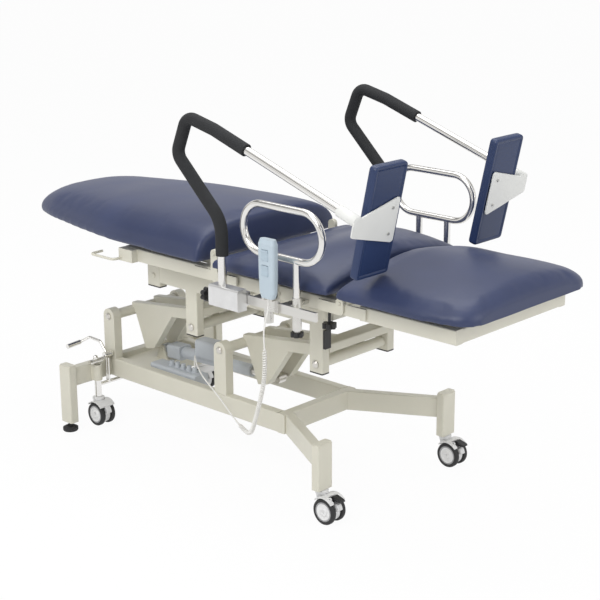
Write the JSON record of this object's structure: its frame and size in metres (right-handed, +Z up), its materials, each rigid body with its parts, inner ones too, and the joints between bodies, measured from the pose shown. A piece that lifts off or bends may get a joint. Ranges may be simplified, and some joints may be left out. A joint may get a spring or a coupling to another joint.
{
  "type": "medical exam table",
  "caption": "height-adjustable examination table with tilting back and leg sections, leg holders, grip loops, parallelogram lift and a handset on a curly cord",
  "frame": {"origin": "on the floor under the middle of the table's bounding box", "axes": "+X from the head end to the foot end, -Y the side that carries the handset, +Z up"},
  "size_m": [1.84, 0.7564, 1.0877],
  "materials": {
    "frame": "satin powder coat",
    "bolts": "polished",
    "caster_shell": "satin",
    "caster_wheel": "rubber tread with plastic disc",
    "black_plastic": "satin",
    "foot_rubber": "matte",
    "chrome": "polished",
    "steel": "brushed",
    "clamp_alloy": "satin",
    "foam": "matte foam",
    "plate_vinyl": "smooth vinyl",
    "bracket_paint": "satin",
    "housing_plastic": "satin",
    "vinyl": "fine grain vinyl",
    "handset_shell": "satin",
    "rocker_key": "satin",
    "cord": "smooth"
  },
  "bodies": {
    "base": {"base_side_near": "frame", "base_side_far": "frame", "head_frame": "frame", "foot_frame": "frame", "cross_tray": "frame", "control_box": "housing_plastic", "base_shafts": "bolts"},
    "levelling_near": {"levelling_foot_near": "foot_rubber"},
    "swivel_near": {"caster_housing_near": "caster_shell"},
    "roll_near": {"caster_wheels_near": "caster_wheel"},
    "brake_near": {"caster_brake_near": "black_plastic"},
    "lifted_swivel_near": {"lifted_housing_near": "caster_shell"},
    "lifted_roll_near": {"lifted_wheels_near": "caster_wheel"},
    "levelling_far": {"levelling_foot_far": "foot_rubber"},
    "swivel_far": {"caster_housing_far": "caster_shell"},
    "roll_far": {"caster_wheels_far": "caster_wheel"},
    "brake_far": {"caster_brake_far": "black_plastic"},
    "lifted_swivel_far": {"lifted_housing_far": "caster_shell"},
    "lifted_roll_far": {"lifted_wheels_far": "caster_wheel"},
    "plungers": {"caster_lift": "chrome"},
    "pedal": {"lift_pedal": "chrome"},
    "head_arm": {"lift_arm_head": "frame"},
    "foot_arm": {"lift_arm_foot": "frame"},
    "actuator_case": {"actuator_housing": "housing_plastic"},
    "actuator_piston": {"actuator_rod": "steel"},
    "upper_frame": {"upper_side_near": "frame", "upper_side_far": "frame", "upper_cross": "frame", "upper_shafts": "bolts", "upper_caps": "black_plastic", "side_rail_near": "steel", "side_rail_far": "steel", "seat_pad": "vinyl", "cord_lead": "cord", "cord_coil": "cord", "cord_tail": "cord"},
    "back_section": {"back_frame": "frame", "back_pad": "vinyl"},
    "leg_section": {"leg_frame": "frame", "leg_pad": "vinyl"},
    "leg_lock": {"leg_knob": "black_plastic"},
    "clamp_near": {"stirrup_clamp_near": "clamp_alloy"},
    "clamp_knob_near": {"stirrup_knob_near": "black_plastic"},
    "leg_holder_near": {"stirrup_tube_near": "chrome", "stirrup_foam_near": "foam"},
    "holder_plate_near": {"leg_plate_near": "plate_vinyl", "leg_bracket_near": "bracket_paint"},
    "grip_near": {"grip_loop_near": "chrome"},
    "grip_lock_near": {"grip_knob_near": "black_plastic"},
    "clamp_far": {"stirrup_clamp_far": "clamp_alloy"},
    "clamp_knob_far": {"stirrup_knob_far": "black_plastic"},
    "leg_holder_far": {"stirrup_tube_far": "chrome", "stirrup_foam_far": "foam"},
    "holder_plate_far": {"leg_plate_far": "plate_vinyl", "leg_bracket_far": "bracket_paint"},
    "grip_far": {"grip_loop_far": "chrome"},
    "grip_lock_far": {"grip_knob_far": "black_plastic"},
    "handset_unit": {"handset": "handset_shell"},
    "key_height": {"rocker_height": "rocker_key"},
    "key_back": {"rocker_back": "rocker_key"}
  },
  "joints": [
    {"name": "foot_screw_near", "type": "hinge", "parent": "base", "child": "levelling_near", "pos_m": [-0.61, -0.316, 0.01], "axis": [0, 0, 1], "continuous": true},
    {"name": "caster_swivel_near", "type": "hinge", "parent": "base", "child": "swivel_near", "pos_m": [0.43, -0.272, 0.1], "axis": [0, 0, 1], "continuous": true},
    {"name": "caster_roll_near", "type": "hinge", "parent": "swivel_near", "child": "roll_near", "pos_m": [0.458, -0.272, 0.0375], "axis": [0, 1, 0], "continuous": true},
    {"name": "caster_brake_near", "type": "hinge", "parent": "swivel_near", "child": "brake_near", "pos_m": [0.476, -0.272, 0.0765], "axis": [0, 1, 0], "range_deg": [0, 12]},
    {"name": "lifted_swivel_near", "type": "hinge", "parent": "plungers", "child": "lifted_swivel_near", "pos_m": [-0.581, -0.222, 0.106], "axis": [0, 0, 1], "continuous": true},
    {"name": "lifted_roll_near", "type": "hinge", "parent": "lifted_swivel_near", "child": "lifted_roll_near", "pos_m": [-0.569, -0.222, 0.0435], "axis": [0, 1, 0], "continuous": true},
    {"name": "foot_screw_far", "type": "hinge", "parent": "base", "child": "levelling_far", "pos_m": [-0.61, 0.316, 0.01], "axis": [0, 0, 1], "continuous": true},
    {"name": "caster_swivel_far", "type": "hinge", "parent": "base", "child": "swivel_far", "pos_m": [0.43, 0.272, 0.1], "axis": [0, 0, 1], "continuous": true},
    {"name": "caster_roll_far", "type": "hinge", "parent": "swivel_far", "child": "roll_far", "pos_m": [0.458, 0.272, 0.0375], "axis": [0, 1, 0], "continuous": true},
    {"name": "caster_brake_far", "type": "hinge", "parent": "swivel_far", "child": "brake_far", "pos_m": [0.476, 0.272, 0.0765], "axis": [0, 1, 0], "range_deg": [0, 12]},
    {"name": "lifted_swivel_far", "type": "hinge", "parent": "plungers", "child": "lifted_swivel_far", "pos_m": [-0.581, 0.222, 0.106], "axis": [0, 0, 1], "continuous": true},
    {"name": "lifted_roll_far", "type": "hinge", "parent": "lifted_swivel_far", "child": "lifted_roll_far", "pos_m": [-0.569, 0.222, 0.0435], "axis": [0, 1, 0], "continuous": true},
    {"name": "caster_lift", "type": "slide", "parent": "base", "child": "plungers", "axis": [0, 0, -1], "range_m": [0, 0.016]},
    {"name": "pedal_turn", "type": "hinge", "parent": "base", "child": "pedal", "pos_m": [-0.582, -0.18, 0.226], "axis": [0, -1, 0], "range_deg": [0, 20]},
    {"name": "lift", "type": "hinge", "parent": "base", "child": "head_arm", "pos_m": [-0.596, 0, 0.343], "axis": [0, -1, 0], "range_deg": [0, 40]},
    {"name": "lift_foot", "type": "hinge", "parent": "base", "child": "foot_arm", "pos_m": [-0.088, 0, 0.343], "axis": [0, -1, 0], "range_deg": [0, 40]},
    {"name": "level", "type": "hinge", "parent": "head_arm", "child": "upper_frame", "pos_m": [-0.208, 0, 0.389], "axis": [0, -1, 0], "range_deg": [-40, 0]},
    {"name": "actuator_swing", "type": "hinge", "parent": "base", "child": "actuator_case", "pos_m": [-0.5, 0, 0.222], "axis": [0, -1, 0], "range_deg": [0, 8.8]},
    {"name": "actuator_stroke", "type": "slide", "parent": "actuator_case", "child": "actuator_piston", "axis": [0.9994, 0, 0.0335], "range_m": [0, 0.0543]},
    {"name": "back_tilt", "type": "hinge", "parent": "upper_frame", "child": "back_section", "pos_m": [0, 0, 0.672], "axis": [0, 1, 0], "range_deg": [0, 70]},
    {"name": "leg_tilt", "type": "hinge", "parent": "upper_frame", "child": "leg_section", "pos_m": [0.475, 0, 0.622], "axis": [0, 1, 0], "range_deg": [0, 75]},
    {"name": "leg_knob_turn", "type": "hinge", "parent": "upper_frame", "child": "leg_lock", "pos_m": [0.415, -0.225, 0.556], "axis": [0, 0, 1], "continuous": true},
    {"name": "clamp_slide_near", "type": "slide", "parent": "upper_frame", "child": "clamp_near", "axis": [1, 0, 0], "range_m": [0, 0.018]},
    {"name": "clamp_knob_near", "type": "hinge", "parent": "clamp_near", "child": "clamp_knob_near", "pos_m": [0.091, -0.36, 0.594], "axis": [1, 0, 0], "continuous": true},
    {"name": "holder_swivel_near", "type": "hinge", "parent": "clamp_near", "child": "leg_holder_near", "pos_m": [0.139, -0.352, 0.6], "axis": [0, 0, -1], "range_deg": [0, 90]},
    {"name": "plate_turn_near", "type": "hinge", "parent": "leg_holder_near", "child": "holder_plate_near", "pos_m": [0.601, -0.352, 0.89], "axis": [0.9481, 0, -0.318], "range_deg": [0, 45]},
    {"name": "grip_height_near", "type": "slide", "parent": "upper_frame", "child": "grip_near", "axis": [0, 0, 1], "range_m": [0, 0.05]},
    {"name": "grip_knob_near", "type": "hinge", "parent": "upper_frame", "child": "grip_lock_near", "pos_m": [0.384, -0.318, 0.533], "axis": [0, 0, 1], "continuous": true},
    {"name": "clamp_slide_far", "type": "slide", "parent": "upper_frame", "child": "clamp_far", "axis": [1, 0, 0], "range_m": [0, 0.018]},
    {"name": "clamp_knob_far", "type": "hinge", "parent": "clamp_far", "child": "clamp_knob_far", "pos_m": [0.091, 0.36, 0.594], "axis": [1, 0, 0], "continuous": true},
    {"name": "holder_swivel_far", "type": "hinge", "parent": "clamp_far", "child": "leg_holder_far", "pos_m": [0.139, 0.352, 0.6], "axis": [0, 0, 1], "range_deg": [0, 90]},
    {"name": "plate_turn_far", "type": "hinge", "parent": "leg_holder_far", "child": "holder_plate_far", "pos_m": [0.601, 0.352, 0.89], "axis": [-0.9481, 0, 0.318], "range_deg": [0, 45]},
    {"name": "grip_height_far", "type": "slide", "parent": "upper_frame", "child": "grip_far", "axis": [0, 0, 1], "range_m": [0, 0.05]},
    {"name": "grip_knob_far", "type": "hinge", "parent": "upper_frame", "child": "grip_lock_far", "pos_m": [0.384, 0.318, 0.533], "axis": [0, 0, 1], "continuous": true},
    {"name": "handset_lift", "type": "slide", "parent": "upper_frame", "child": "handset_unit", "axis": [0, 0, 1], "range_m": [0, 0.03]},
    {"name": "key_height", "type": "hinge", "parent": "handset_unit", "child": "key_height", "pos_m": [0.3205, -0.369, 0.748], "axis": [1, 0, 0], "range_deg": [-5, 5], "stiffness_Nm_per_rad": 0.2},
    {"name": "key_back", "type": "hinge", "parent": "handset_unit", "child": "key_back", "pos_m": [0.3205, -0.369, 0.706], "axis": [1, 0, 0], "range_deg": [-5, 5], "stiffness_Nm_per_rad": 0.2}
  ],
  "couplings": [
    {"joint": "lift_foot", "follows": "lift", "ratio": 1},
    {"joint": "level", "follows": "lift", "ratio": -1},
    {"joint": "actuator_swing", "follows": "lift", "ratio": 0.21489},
    {"joint": "actuator_stroke", "follows": "lift", "m_per_rad": 0.077009},
    {"joint": "pedal_turn", "follows": "caster_lift", "rad_per_m": 21.8}
  ]
}
